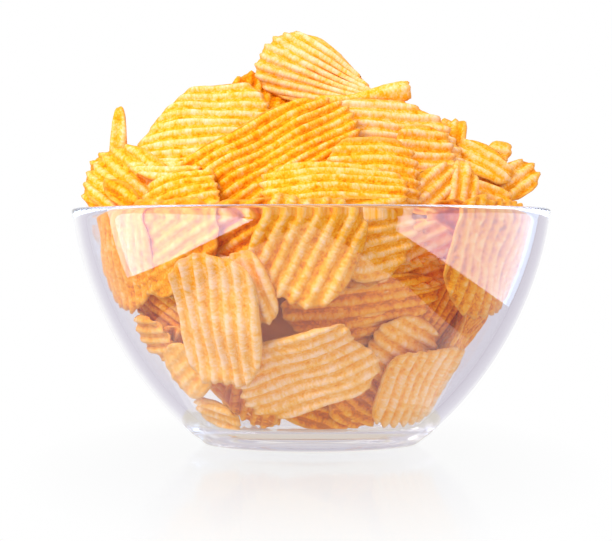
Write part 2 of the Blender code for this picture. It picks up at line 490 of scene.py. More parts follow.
class RoundCover(FrontCover):
    """Seen from all round: the polar angle a and the turn t give the cell (a cos t, a sin t)."""

    middle = np.array([0.0, 0.0, 62 * MM])

    def __init__(self):
        super().__init__(half=math.pi, cell=math.radians(3))

    def seen(self, points):
        way = points.reshape(-1, 3) - self.middle
        distance = np.linalg.norm(way, axis=1)
        polar = np.arccos(way[:, 2] / np.maximum(distance, 1e-6))
        turn = np.arctan2(way[:, 1], way[:, 0])
        return self.squares(np.stack([polar * np.cos(turn), polar * np.sin(turn)])), -distance

    def inwards(self, points):
        return unit(self.middle - points.reshape(-1, 3).mean(axis=0))


class TopCover(FrontCover):
    """Seen from above: the cells are squares in x and y, and depth is how low a point lies."""

    def seen(self, points):
        flat = np.stack([points[..., 0], points[..., 1]]).reshape(2, -1)
        return self.squares(flat), -points[..., 2].ravel()

    def inwards(self, points):
        return np.array([0.0, 0.0, -1.0])


COVERS = {"front": FrontCover(), "round": RoundCover(), "top": TopCover()}

# %% [markdown]
# Nothing may touch the glass either, so a crisp that would is slid off it first, and what still
# sticks out is pressed in.

# %% Clear of the glass
WALL_GAP = 1.2 * MM


def wall_overlap(points):
    """How far each point is past the wall's inner face; nothing above the rim is."""
    radius = np.linalg.norm(points[:, :2], axis=1)
    room = side_radius(np.minimum(points[:, 2], BOWL_HEIGHT), INNER_SIDE) - WALL_GAP
    return np.where(points[:, 2] < BOWL_HEIGHT + 1 * MM, radius - room, -1.0)


def kept_inside(sheet):
    """Slides a grid of points off the wall and the floor: r <= the inner radius less the gap, and z
    at least the gap above the floor."""
    moved = sheet.reshape(-1, 3).copy()
    for _ in range(4):
        over = wall_overlap(moved)
        worst = int(np.argmax(over))
        if over[worst] > 0:
            moved[:, :2] -= unit(moved[worst, :2]) * over[worst] * 0.8
        moved[:, 2] += max(FLOOR_Z + WALL_GAP - moved[:, 2].min(), 0.0)
    radius = np.linalg.norm(moved[:, :2], axis=1)
    over = np.maximum(wall_overlap(moved), 0.0)
    moved[:, :2] *= (1 - over / np.maximum(radius, 1e-6))[:, None]
    return moved.reshape(sheet.shape)


pressed = kept_inside(np.array([[[90 * MM, 0.0, 60 * MM]]]))
print("a point 90 mm out at a level of 60 mm is brought to, mm:", np.round(pressed[0, 0] / MM, 1))

# %% [markdown]
# The finish needs to know where it is on the crisp: how high on the ridge, how near the edge, and
# where on the potato's flat slice. These are measured on the flat sheet, before it is curled, so the
# browning and the freckles bend with it.


# %% What the finish reads
def slice_map(x, y, height, ridge):
    """The flat slice's map: across the ridges the length of the wavy line, along them y."""
    steps = np.hypot(np.diff(x[0]), np.diff(height[0]) * RIDGE * ridge)
    over_waves = np.concatenate([[0.0], np.cumsum(steps)])
    return np.stack([np.broadcast_to(over_waves, y.shape), y], axis=2)


def edge_distance(flat):
    """The distance to the nearest of the four sides of the slice, in mm."""
    to_end = np.minimum(flat[:, :, 1] - flat[:1, :, 1], flat[-1:, :, 1] - flat[:, :, 1])
    to_side = np.minimum(flat[:, :, 0] - flat[:, :1, 0], flat[:, -1:, 0] - flat[:, :, 0])
    return np.minimum(to_end, to_side) / MM


def solid_map(flat, loop):
    """The slice's map for both faces of the solid and its edge ring, half a thickness outwards."""
    edge = flat[loop]
    heading = unit(np.roll(edge, -1, axis=0) - np.roll(edge, 1, axis=0))
    edge_ring = edge + np.stack([heading[:, 1], -heading[:, 0]], axis=1) * THICKNESS * 0.5
    return np.concatenate([flat.reshape(-1, 2), flat.reshape(-1, 2), edge_ring])


# %% [markdown]
# Now all of it comes together. Warps of 28, 22, 20 and 5 mm make each crisp uneven at each size, as
# water leaves a slice here sooner than there.

# %% One crisp, laid
OVER_RIM = 84.0  # mm: a crisp whose middle is higher hides what lies under it from above


def crisp(pile, at, size, run=0, turn=0, lean=0, roll=(), fan=0.0, cuts=(), blunt=2.3, drawn=1.0,
          tone=None, seed=0, fine=8, ridge=1.0, covers=("front",), gap=1.6, most=12.0):
    """Lays one crisp: `at` is its middle and `size` its length along the ridges and its flat width
    across them, in mm. `drawn` is the share of the width left when the frying has drawn it in, and
    `fan` widens one end and narrows the other: x becomes x drawn (1 + fan y / (L/2)). It may slide
    `most` mm inwards to lie `gap` mm behind the covers. `ridge` is the share of the ridges' height."""
    random = np.random.default_rng(seed)
    length, width = size[0] * MM, size[1] * MM
    phase = random.uniform(0, 1) * PITCH
    x, y = flat_sheet(length, width, cuts, blunt, phase, TOOTH * ridge, random, fine)
    height = wave(x + phase)
    flat = slice_map(x, y, height, ridge)
    swell = 1 + 0.25 * ripples(x, y, 22 * MM, random)
    z = height * RIDGE * ridge * swell
    z = z + WARP * ripples(x, y, 28 * MM, random) + 0.12 * MM * ripples(x, y, 5 * MM, random)
    x = x * drawn * (1 + fan * y / (length / 2)) + 0.15 * MM * ripples(x, y, 20 * MM, random)
    for bend in roll:
        x, y, z = rolled(x, y, z, *bend)
    middle = np.stack([x, y, z], axis=2) @ facing(run, turn, lean).T + np.array(at) * MM
    middle = kept_inside(middle)
    for name in covers:
        middle = kept_inside(COVERS[name].settle(middle, gap * MM, most * MM))
    in_front = covers == ("front",)
    for name, hides in (("front", in_front), ("round", True), ("top", at[2] > OVER_RIM)):
        if hides:
            COVERS[name].note(middle)
            COVERS[name].note((middle[1:] + middle[:-1]) / 2)
    points, loop = thickened(middle)
    inner = edge_distance(flat)
    shade = random.uniform(0, 1) if tone is None else tone
    values = {
        "ridge": np.concatenate([height.ravel(), -height.ravel(), height[loop] * 0.3]) * ridge,
        "edge": np.concatenate([inner.ravel(), inner.ravel(), inner[loop]]),
        "tone": np.full(len(points), shade),
    }
    sheet = solid_map(flat, loop) + random.uniform(0, 3, 2)
    faces, face_side = solid_faces(*height.shape)
    pile.lay(points, faces, values, (sheet, faces, face_side))


# %% [markdown]
# ## Two ways to lie
# Below the rim a crisp lies against the glass, so its place is an angle round the bowl and a level,
# and it faces outwards and down, as the wall does there. Above the rim it lies on the mound, whose
# outline is a dome z = edge + rise (1 - (r/R)^2)^p, and faces up the more the nearer it is to the top.


# %% Against the glass and on the mound
MOUND_EDGE_Z = 93 * MM
MOUND_RISE = 43 * MM
MOUND_RADIUS = 81.5 * MM
MOUND_POWER = 0.8
RIM_CUT = 86.0  # mm: what reaches higher is broken off


def mound_top(radius):
    """The dome's height over the table at a radius, by the formula above."""
    share = np.clip(1.0 - (radius / MOUND_RADIUS) ** 2, 0.0, 1.0)
    return MOUND_EDGE_Z + MOUND_RISE * share**MOUND_POWER


def against_glass(pile, side, level, size, off=3.0, run=0, swing=0, tip=0, hug=0.6, roll=(), cuts=(),
                  rim=RIM_CUT, **shape):
    """A crisp at `side` degrees round from the front, to the right, `level` mm up and `off` mm from
    the wall. `hug` is how much of the wall's roundness it takes: k = hug degrees(1 cm / r). What
    would reach over `rim` mm is cut off."""
    z = level * MM
    radius = float(side_radius(z, INNER_SIDE)) - off * MM
    slope = float(side_radius(z + MM, INNER_SIDE) - side_radius(z - MM, INNER_SIDE)) / (2 * MM)
    angle = math.radians(side)
    at = (radius * math.sin(angle) / MM, -radius * math.cos(angle) / MM, level)
    round_the_bowl = (90 - run, -hug * math.degrees(0.01 / max(radius, 0.02)))
    crisp(pile, at, size, run, side + swing, tip - math.degrees(math.atan(slope)),
          roll=(round_the_bowl, *roll), cuts=((180 - run, rim - level), *cuts), **shape)


def on_mound(pile, side, radius, size, depth=0.0, run=0, swing=0, tip=0, **shape):
    """A crisp on the dome at `radius` mm from the axis, sunk by `depth` mm, facing along its normal."""
    r = radius * MM
    slope = float(mound_top(r + MM) - mound_top(max(r - MM, 0.0))) / (2 * MM)
    angle = math.radians(side)
    at = (radius * math.sin(angle), -radius * math.cos(angle), float(mound_top(r)) / MM - depth)
    crisp(pile, at, size, run, side + swing, 90 - math.degrees(math.atan(-slope)) + tip, **shape)


print("the mound's height over the axis, mm:", round(float(mound_top(0.0)) / MM, 1))

# %% [markdown]
# ## The heap's front
# The heap is taller than it is tidy: at the top one crisp stands up like a fan, and big ones lie
# against each other like tiles down to the rim. These are laid one by one, because a rule would not
# give this heap. Behind the glass the pale ones touch it, and the darker ones fill the gaps between
# them; their lower tone is partly painted shade of the gaps. `tone` goes from dark, below 0, to
# pale, 1: partly the crisp's own browning, partly painted shade.

# %% Crisps behind the front glass
inside = Pile("crisps_behind_glass")
against_glass(inside, -29, 46, (46, 28), run=-96, fan=-0.08, blunt=3.4, drawn=1.12, tone=0.9, seed=34)
against_glass(inside, -3, 29, (46, 31), run=23, blunt=3.4, tone=0.85, seed=38)
against_glass(inside, -16, 57, (24, 14), off=4, run=-76, blunt=3, tone=0.8, seed=35)
against_glass(inside, -1, 71, (40, 29), off=4, run=64, blunt=2.8, drawn=1.2, tone=0.45, seed=36)
against_glass(inside, 52, 23, (32, 32), run=90, swing=-14, fan=0.1, blunt=3.6, tone=0.7, seed=41)
against_glass(inside, 57, 68, (40, 40), run=84, hug=0.9, blunt=3, drawn=1.3, tone=0.1, seed=42)
against_glass(inside, 15, 75, (30, 32), off=6, run=10, tone=0.55, seed=44)
against_glass(inside, -70, 70, (42, 38), off=4, run=80, swing=14, ridge=0.6, tone=0.3, rim=82,
              seed=31)
against_glass(inside, 53, 42, (18, 12), off=6, run=86, swing=60, tone=0.4, seed=46)
against_glass(inside, -42, 72, (46, 34), off=5, run=25, ridge=0.5, tone=0.2, seed=32)
against_glass(inside, -20, 70, (40, 32), off=8, run=30, tone=0.1, seed=33)
against_glass(inside, -49, 29, (22, 20), off=4, run=30, ridge=0.3, tone=0.6, seed=49)
against_glass(inside, -50, 13, (18, 14), off=4, run=-20, tone=0.6, seed=53)
against_glass(inside, 32, 35, (28, 26), off=6, run=-28, tone=0.6, seed=40)
# from here on they lie further from the glass, most with a lower tone: partly painted shade of the gaps
against_glass(inside, 16, 50, (50, 24), off=9, run=8, fan=-0.1, tone=-0.1, seed=37)
against_glass(inside, 22, 40, (30, 22), off=8, run=2, tone=0.4, seed=39)
against_glass(inside, 29, 65, (30, 28), off=8, run=24, tone=0.5, seed=43)
against_glass(inside, 42, 74, (26, 24), off=8, run=-20, tone=-0.3, seed=54)
against_glass(inside, 66, 46, (32, 30), off=6, run=60, tone=-0.3, seed=59)
against_glass(inside, 50, 48, (42, 36), off=9, run=70, tone=-0.3, seed=45)
against_glass(inside, 36, 54, (40, 34), off=12, run=-30, tone=-0.3, seed=55)
against_glass(inside, 26, 17, (30, 24), off=6, run=-35, tone=-0.3, seed=48)
against_glass(inside, 3, 15, (44, 28), off=8, run=-24, tip=24, tone=-0.3, seed=47)
against_glass(inside, -64, 39, (22, 18), off=6, run=0, tone=0.3, seed=50)
against_glass(inside, -52, 34, (24, 20), off=6, run=40, tone=0.4, seed=56)
against_glass(inside, -58, 52, (34, 32), off=7, run=-45, tone=0.0, seed=51)
against_glass(inside, -28, 16, (26, 20), off=6, run=60, tone=-0.2, seed=52)
against_glass(inside, -32, 24, (38, 30), off=10, run=-50, tone=0.2, seed=57)
print("crisps behind the front glass:", inside.laid)

# %% [markdown]
# The ones above the rim are laid from the front to the back, each at (x, y, z) in millimetres from
# the middle of the bowl's foot.

# %% Crisps above the rim
above = Pile("crisps_above_rim")
# the pale one at the front, arched, and the one behind it with the toothed right edge
crisp(above, (8, -58, 88), (50, 34), run=2, turn=4, lean=46, roll=((0, -9), (90, -7)), fan=-0.1,
      blunt=2.8, tone=0.42, seed=5)
crisp(above, (22, -42, 94), (30, 30), run=-2, turn=12, lean=30, roll=((90, -8),), blunt=4, tone=0.45,
      seed=7)
# the right shoulder
crisp(above, (40, -42, 89), (30, 13), run=37, turn=24, lean=20, roll=((0, -22),), tone=0.7, seed=13)
crisp(above, (52, -36, 87), (26, 12), run=74, turn=24, lean=20, roll=((0, -14),), tone=0.65, seed=14)
crisp(above, (65, -28, 83), (36, 26), run=-24, turn=28, lean=30, tone=0.65, seed=15)
# the left shoulder
crisp(above, (-64.5, -25, 90), (38, 28), run=-38, turn=-18, lean=30, roll=((0, 18),), tone=0.5, seed=16)
crisp(above, (-77, -14, 93), (24, 24), run=-20, turn=-25, lean=14, tone=0.3, seed=17)
crisp(above, (-45, -44, 87), (28, 26), run=18, turn=-20, lean=34, roll=((0, -14),), tone=0.35, seed=20)
crisp(above, (-50, -30, 97), (26, 16), run=4, turn=-16, lean=70, roll=((0, -14),), tone=0.7, seed=19)
# a small strip of lower tone under the curled crisp above: painted shade, standing for the shadow of
# its fold
crisp(above, (-66, -37, 88.5), (15, 7), run=-34, turn=-18, lean=10, roll=((0, 20),), tone=0.0, seed=102)
# the big one across the middle
crisp(above, (-14, -36, 98), (70, 46), run=34, turn=-4, lean=24, roll=((0, -5), (90, -5)), fan=-0.1,
      blunt=3.2, drawn=0.88, tone=0.2, seed=4)
# behind it, flat-topped on the right
crisp(above, (40, -24, 101), (24, 26), run=0, turn=16, lean=26, tone=0.7, seed=8)
crisp(above, (29, -14, 107), (44, 34), run=-2, turn=10, lean=24, roll=((90, -3),), blunt=5,
      cuts=((150, 17),), tone=0.9, seed=6)
# the large pale oval behind on the left
crisp(above, (-39.5, -8, 109.5), (52, 50), run=4, turn=-10, lean=36, roll=((90, -5),),
      cuts=((228, 18), (178, 22.5)), tone=0.7, seed=2)
# the fan at the very top, rolled to a stick at its right end
crisp(above, (19, 0, 124), (34, 10), run=11, turn=-4, lean=30, roll=((0, -200),), blunt=4, ridge=0.3,
      tone=0.8, seed=101)
crisp(above, (2.5, 2, 132), (43, 36), run=-24, turn=-4, lean=12, roll=((0, -7),), fan=-0.55,
      blunt=2.2, drawn=0.62, tone=0.85, seed=1)
crisp(above, (-16, 4, 120), (26, 30), run=76, turn=6, lean=20, tone=0.1, seed=3)
# small bits on the right shoulder
crisp(above, (60.5, -8, 100), (22, 14), run=-36, turn=16, lean=30, roll=((0, 20),), tone=0.65, seed=10)
crisp(above, (50, -4, 108), (15, 10), run=84, turn=-6, lean=20, blunt=6, ridge=0.6, tone=0.4, seed=9)
crisp(above, (67.5, -4, 104), (7, 7), run=-10, turn=0, lean=10, blunt=6, ridge=0.6, tone=0.8, seed=11)
crisp(above, (73, -8, 93.5), (19, 13), run=32, turn=20, lean=20, roll=((0, 30),), tone=0.6, seed=12)
crisp(above, (58, -8, 90), (34, 28), run=60, turn=30, lean=30, tone=0.3, seed=21)
crisp(above, (-69.5, -4, 100), (38, 7), run=87, turn=-20, lean=0, roll=((0, -60),), ridge=0.5,
      tone=0.6, seed=18)
print("crisps above the rim:", above.laid)

# %% [markdown]
# ## The rest of the heap
# The sides, the back and the inner layers follow a rule instead. They go on in coats, from the
# outside in. The crisps of the first coat lie clear of each other, those of the next lie behind
# their gaps, and so on. Each is a little out of place and turned any way, by one seeded generator,
# so that each run gives the same heap.


# %% Coats of crisps
COAT_CUT = 79.0  # mm: the coats end this far up the glass, a little under the rim


def ring(start, stop, step):
    """Sides in degrees from start up to stop: start, start + step, start + 2 step..."""
    return np.arange(start, stop, step)


def coat_on_glass(pile, rows, seed, most, off=3.0):
    """Crisps against the wall, rows of (level, sides), out of place by up to 4 degrees and 3 mm, and
    smaller towards the foot, where the bowl is narrow: their size times 0.5 + level/80."""
    random = np.random.default_rng(seed)
    for level, sides in rows:
        room = min(1.0, 0.5 + level / 80)
        for side in sides:
            against_glass(
                pile, side + random.uniform(-4, 4), level + random.uniform(-3, 3),
                (random.uniform(38, 54) * room, random.uniform(32, 44) * room),
                off=off + random.uniform(0, 2),
                run=random.uniform(0, 180), swing=random.uniform(-9, 9), tip=random.uniform(-7, 7),
                roll=((random.uniform(0, 180), random.uniform(-6, 4)),), fine=6, rim=COAT_CUT,
                seed=int(random.integers(1e6)), covers=("round",), most=most,
            )


def coat_on_mound(pile, rows, seed, most, depth=3.0):
    """Crisps on the dome, rows of (radius, sides), out of place by up to 6 degrees and 4 mm. They
    lie deeper on the flanks, by 6 mm times the sine of the side."""
    random = np.random.default_rng(seed)
    for radius, sides in rows:
        for side in sides:
            on_mound(
                pile, side + random.uniform(-6, 6), radius + random.uniform(-4, 4),
                (random.uniform(34, 48), random.uniform(28, 40)),
                depth=depth + 6 * abs(math.sin(math.radians(side))) + random.uniform(-2, 3),
                run=random.uniform(0, 180), swing=random.uniform(-14, 14), tip=random.uniform(-12, 10),
                roll=((random.uniform(0, 180), random.uniform(-10, 3)),), fine=6,
                seed=int(random.integers(1e6)), covers=("round", "front"), most=most,
            )


def lid(pile, rows, seed, depth, lowest, share=1.0):
    """Crisps that lie nearly flat, rows of (radius, sides), `depth` mm under the dome. They slide
    down until they are under what is already seen from above, or down to `lowest` mm. `share` is
    the share of their usual size."""
    random = np.random.default_rng(seed)
    for radius, sides in rows:
        for side in sides + random.uniform(-6, 6, len(sides)):
            angle = math.radians(side)
            level = float(mound_top(radius * MM)) / MM - depth + random.uniform(-3, 3)
            at = (radius * math.sin(angle), -radius * math.cos(angle), level)
            size = share * random.uniform(26, 34), share * random.uniform(22, 28)
            crisp(pile, at, size, random.uniform(0, 180), side, random.uniform(66, 88),
                  roll=((random.uniform(0, 180), random.uniform(-8, 4)),), fine=6,
                  seed=int(random.integers(1e6)), covers=("top",), gap=1.2, most=level - lowest)


# %% [markdown]
# At the sides and the back, coats stand against the glass and others lie on the mound. A side of 0
# degrees is the front, 90 the right and 180 the back.

# %% The sides and the back
back = Pile("crisps_back_glass")
coat_on_glass(back, ((70, ring(84, 280, 38)), (38, ring(98, 280, 42)),
                     (14, ring(84, 290, 50)), (8, ring(76, 300, 40))), 2, 6)
coat_on_glass(back, ((80, ring(103, 260, 38)), (54, ring(78, 285, 38)),
                     (24, ring(75, 290, 44))), 3, 12, 5)
coat_on_glass(back, ((64, ring(98, 290, 40)), (44, ring(76, 290, 42)),
                     (30, ring(90, 290, 50)), (14, ring(70, 290, 60))), 4, 20, 8)
print("crisps behind the back glass:", back.laid)

crown = Pile("crisps_back_mound")
coat_on_mound(crown, ((68, ring(92, 275, 42)), (40, ring(84, 130, 38)),
                      (30, ring(150, 260, 60))), 6, 16)
coat_on_mound(crown, ((80, ring(112, 260, 42)), (48, ring(100, 270, 42))), 7, 14, 5)
coat_on_mound(crown, ((14, (176,)),), 17, 14, 13)
coat_on_mound(crown, ((74, ring(90, 280, 36)), (38, ring(90, 270, 50))), 8, 22, 8)
print("crisps on the back of the mound:", crown.laid)

# %% [markdown]
# Through the gaps between the crisps in front more of them show, so inner layers follow: some
# against the glass, some that tip back just under the rim, and some on the mound. Last come lids,
# nearly flat crisps that close what is open from above.

# %% The inner layers
under = Pile("crisps_inner")
coat_on_glass(under, ((76, ring(-70, 80, 36)), (56, ring(-70, 80, 36)),
                      (36, ring(-60, 80, 40)), (18, ring(-50, 80, 60))), 9, 30, 12)
for number, side in enumerate((-58, -36, -14, 10, 30, 50)):
    against_glass(under, side, 77, (36, 30), off=15, run=40 * number, tip=62, tone=0.3, most=30, fine=6,
                  seed=60 + number)
coat_on_mound(under, ((62, ring(-80, 90, 34)), (40, ring(-80, 90, 40)),
                      (14, ring(0, 360, 90))), 10, 30, 13)
print("inner crisps:", under.laid)

filling = Pile("crisps_filling")
lid(filling, ((48, ring(-84, 90, 28)), (28, ring(-90, 100, 45)), (8, ring(0, 200, 180))), 11, 8, 70)
lid(filling, ((46, ring(-70, 84, 28)), (24, ring(-60, 100, 60))), 12, 20, 62)
lid(filling, ((54, ring(-62, 84, 16)),), 13, 26, 68, 0.6)
print("crisps of the lids:", filling.laid)

# %% [markdown]
# ## The core
# Deep in the heap nothing can be told apart, so a smaller body of the same finish fills it, with a
# dome above and the bowl's own roundness below, and stops the light from falling through.


# %% The core
def core_mesh(below=0.66, above=0.38, rings=60, steps=96):
    """Points along rays from the heap's middle, at a share of the way to the dome or the wall. The
    share goes from `below` to `above` as (1 + tanh(climb/0.25))/2, and ripples by 5 %."""
    random = np.random.default_rng(21)
    climb = np.linspace(-math.pi / 2, math.pi / 2, rings)[:, None]
    turn = np.linspace(0, 2 * math.pi, steps, endpoint=False)[None, :]
    way = np.stack([np.cos(climb) * np.cos(turn), np.cos(climb) * np.sin(turn),
                    np.sin(climb) + 0 * turn], axis=2)
    middle = np.array([0.0, 0.0, 60 * MM])
    ruler = np.arange(0, 110) * MM
    place = middle + way[:, :, None, :] * ruler[:, None]
    radius = np.linalg.norm(place[..., :2], axis=3)
    height = place[..., 2]
    wall = side_radius(np.minimum(height, BOWL_HEIGHT), INNER_SIDE)
    free = (radius < wall) & (height < mound_top(radius)) & (height > FLOOR_Z)
    share = below + (above - below) * (0.5 + 0.5 * np.tanh(climb / 0.25))
    reach = (free * ruler).max(axis=2) * share
    reach = reach * (1 + 0.05 * ripples(turn * 30 * MM, climb * 30 * MM, 16 * MM, random)
                     * np.cos(climb))
    points = middle + way * reach[:, :, None]
    print("the core's radii, mm:", np.round([reach.min() / MM, reach.max() / MM], 1))
    row, column = np.meshgrid(np.arange(rings - 1), np.arange(steps), indexing="ij")
    after = (column + 1) % steps
    faces = np.stack([row * steps + column, row * steps + after, (row + 1) * steps + after,
                      (row + 1) * steps + column], axis=2)
    return points.reshape(-1, 3), faces.reshape(-1, 4)


core = made_object("heap_core", *core_mesh())

# %% [markdown]
# ## Fried potato
# The finish is that of thin potato slices fried in oil: starch browned golden. The grooves are
# coloured darker and the crests paler, partly as browning where the oil stays and partly as painted
# shade in the grooves and painted highlight on the crests. The surface is matt with a light oily
# sheen, pitted by steam, and freckled with seasoning. Its patterns read the piece's own flat map
# in millimetres, so they follow each crisp as it curls.


# %% Nodes
def add(tree, kind, settings=None, **links):
    """Adds a shader node. `settings` sets its own properties, and each link gives an input a value or
    a socket. An input is named, with _ for a space, or numbered: i0 is the first."""
    node = tree.nodes.new("ShaderNode" + kind)
    for label, value in (settings or {}).items():
        setattr(node, label, value)
    for label, value in links.items():
        key = int(label[1:]) if label[0] == "i" and label[1:].isdigit() else label.replace("_", " ")
        if isinstance(value, bpy.types.NodeSocket):
            tree.links.new(value, node.inputs[key])
        else:
            node.inputs[key].default_value = value
    return node


def new_material(name):
    """A material with an empty node tree, and that tree."""
    made = bpy.data.materials.new(name)
    made.use_nodes = True
    made.node_tree.nodes.clear()
    return made, made.node_tree


def ramp(tree, factor, stops):
    """A colour ramp: places from 0 to 1 with a hex colour each, joined smoothly."""
    node = add(tree, "ValToRGB", Fac=factor)
    elements = node.color_ramp.elements
    elements.remove(elements[1])
    elements[0].position = stops[0][0]
    elements[0].color = linear(stops[0][1])
    for place, colour in stops[1:]:
        elements.new(place).color = linear(colour)
    return node.outputs["Color"]


# %% [markdown]
# Five things say how pale a place is: the height on the ridge, a grain of 0.8 mm from the starch,
# freckles of 2.2 mm from the seasoning, blotches of 6.5 mm where the oil browned it, and the tone of
# the whole crisp. The height makes crests paler and grooves darker, partly browning and partly
# painted highlight and painted shade; the low tone of the crisps deep in the gaps is partly painted
# shade as well. Their sum is read off a scale of colours, from the brown of a groove to the
# peach of a crest. The last millimetre at the edge is browned as well.

# %% Golden fried potato, ridged
GRAIN, FRECKLE, BLOTCH = 0.8, 2.2, 6.5  # mm, the unit of the slice's map


def sum_of(tree, start, *parts):
    """start + the sum of weight * (value - centre), one multiply-add node for each part."""
    total = start
    for value, centre, weight in parts:
        lower = add(tree, "Math", {"operation": "SUBTRACT"}, i0=value, i1=centre).outputs[0]
        total = add(tree, "Math", {"operation": "MULTIPLY_ADD"}, i0=lower, i1=weight,
                    i2=total).outputs[0]
    return total


def fried_potato():
    """Golden fried potato: pale crests and orange grooves, partly painted highlight and shade, and
    freckles and pits at their real sizes.
    """
    made, tree = new_material("fried_potato")
    flat = add(tree, "UVMap", {"uv_map": "Sheet"}).outputs["UV"]
    height = add(tree, "Attribute", {"attribute_name": "ridge"}).outputs["Fac"]
    tone = add(tree, "Attribute", {"attribute_name": "tone"}).outputs["Fac"]
    edge = add(tree, "Attribute", {"attribute_name": "edge"}).outputs["Fac"]
    blotch = add(tree, "TexNoise", Vector=flat, Scale=1 / BLOTCH, Detail=2.0).outputs["Fac"]
    freckle = add(tree, "TexNoise", Vector=flat, Scale=1 / FRECKLE, Detail=3.0).outputs["Fac"]
    grain = add(tree, "TexNoise", Vector=flat, Scale=1 / GRAIN, Detail=3.0).outputs["Fac"]
    # the ridge height paints crests paler and grooves darker: partly browning, partly painted highlight
    # and painted shade; the low tones of the deep crisps are partly painted shade
    level = sum_of(tree, 0.47, (height, 0.0, 0.22), (grain, 0.5, 0.9), (freckle, 0.5, 1.0),
                   (blotch, 0.5, 0.7), (tone, 0.5, 0.42))
    golden = ramp(tree, level, (
        (0.0, "#D06E06"),
        (0.14, "#EA7E04"),
        (0.3, "#F89C06"),
        (0.5, "#FCB02E"),
        (0.74, "#FEC478"),
        (1.0, "#FFD2A8"),
    ))
    browned = add(tree, "MapRange", Value=edge, From_Min=0.2, From_Max=1.1, To_Min=0.5,
                  To_Max=0.0).outputs[0]
    colour = add(tree, "Mix", {"data_type": "RGBA"}, i0=browned, i6=golden,
                 i7=linear("#E39A44")).outputs[2]
    bump = add(tree, "Bump", Height=freckle, Strength=0.4, Distance=0.5 * MM)
    shader = add(tree, "BsdfPrincipled", Base_Color=colour, Roughness=0.55,
                 Normal=bump.outputs[0])
    shader.inputs["Specular IOR Level"].default_value = 0.08
    add(tree, "OutputMaterial", Surface=shader.outputs[0])
    return made


# %% [markdown]
# ## Glass
# The bowl is soda-lime glass, the glass of jars and windows: nearly colourless, with an IOR of 1.5.
# Pressing and the flame leave it perfectly smooth. It is drawn as real refraction through the wall's
# two faces, as that is what bends all that is seen through its edge. For the light that falls on
# the crisps it is simply clear, so they are lit without noise.


# %% Clear soda-lime glass
def soda_lime_glass():
    """Clear soda-lime glass, pressed and fire-polished: refraction with no roughness, and straight
    passage for shadow and diffuse rays."""
    made, tree = new_material("clear_glass")
    glass = add(tree, "BsdfPrincipled", Base_Color=linear("#F8F7FA"), Roughness=0.0, IOR=1.5)
    glass.inputs["Transmission Weight"].default_value = 1.0
    clear = add(tree, "BsdfTransparent", Color=linear("#FCFCFD"))
    path = add(tree, "LightPath")
    first = add(tree, "MixShader", i0=path.outputs["Is Shadow Ray"], i1=glass.outputs[0],
                i2=clear.outputs[0])
    both = add(tree, "MixShader", i0=path.outputs["Is Diffuse Ray"], i1=first.outputs[0],
               i2=clear.outputs[0])
    add(tree, "OutputMaterial", Surface=both.outputs[0])
    return made


# %% [markdown]
# ## The finished pieces
# Each pile becomes one piece. All the crisps and the core stand for the heap's solid in the frame,
# and the bowl stands for the bowl's.

# %% The finishes on their pieces
potato = fried_potato()
pieces = [pile.build() for pile in (above, inside, back, crown, under, filling)]
for piece in pieces:
    piece.data.materials.append(potato)
    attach(piece, BODY)
    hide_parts("crisp_heap")
core.data.materials.append(potato)
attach(core, BODY)
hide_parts("crisp_heap")
bowl.data.materials.append(soda_lime_glass())
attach(bowl, BODY)
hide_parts("glass_bowl")
print("pieces:", len(pieces) + 2)

# %% [markdown]
# ## The table, the light and the camera
# The bowl stands on glossy white acrylic under soft boxes, so the ground is pure white and gives
# back only a faint image of the bowl. Just before the bowl its glow is darkened, as painted shade.

# %% The table
TABLE_HALF = 1.5
TABLE_Z = -0.2 * MM
SHADE_END = 250 * MM


def white_acrylic():
    """Glossy white acrylic, lit evenly: a white glow with painted shade before the bowl, and a weak
    blurred image of the bowl that fades outwards. Both follow the distance from a place just before the
    foot."""
    made, tree = new_material("white_acrylic")
    place = add(tree, "TexCoord").outputs["Object"]
    nearby = add(tree, "Mapping", Vector=place, Location=(0.0, 50 * MM, 0.0),
                 Scale=(2.6, 1.0, 1.0)).outputs[0]
    far = add(tree, "VectorMath", {"operation": "LENGTH"}, i0=nearby).outputs["Value"]
    # the glow goes from 0.92 near the foot to 1.0 far off: painted shade of the bowl
    bright = add(tree, "MapRange", Value=far, From_Min=30 * MM, From_Max=SHADE_END,
                 To_Min=0.92, To_Max=1.0).outputs[0]
    shine = add(tree, "MapRange", Value=far, From_Min=0.0, From_Max=SHADE_END, To_Min=0.24,
                To_Max=0.03).outputs[0]
    glow = add(tree, "Emission", Color=linear("#FFFFFF"), Strength=bright)
    mirror = add(tree, "BsdfAnisotropic", Color=linear("#FFFFFF"), Roughness=0.08)
    both = add(tree, "MixShader", i0=shine, i1=glow.outputs[0], i2=mirror.outputs[0])
    add(tree, "OutputMaterial", Surface=both.outputs[0])
    return made


def stage_face(name, corners, material):
    """A flat face through its corners, as part of the stage."""
    mesh = bpy.data.meshes.new(name)
    mesh.from_pydata(corners, [], [tuple(range(len(corners)))])
    made = bpy.data.objects.new(name, mesh)
    bpy.context.scene.collection.objects.link(made)
    made.data.materials.append(material)
    return made


table = stage_face("table_top", [
    (-TABLE_HALF, -TABLE_HALF, TABLE_Z),
    (TABLE_HALF, -TABLE_HALF, TABLE_Z),
    (TABLE_HALF, TABLE_HALF, TABLE_Z),
    (-TABLE_HALF, TABLE_HALF, TABLE_Z),
], white_acrylic())
table.visible_glossy = False
table.visible_diffuse = False
table.visible_transmission = False
print("table's side, m:", 2 * TABLE_HALF)

# %% [markdown]
# What the glass gives back makes it look like glass. Two tall soft boxes stand left and right, and
# their images reach below the table's level, as its gloss doubles them. A bright tapering patch of
# the table lies before the bowl, and a creamy one under its foot. They are cards that only
# reflection and refraction see, because lamps that bright would bleach the crisps.


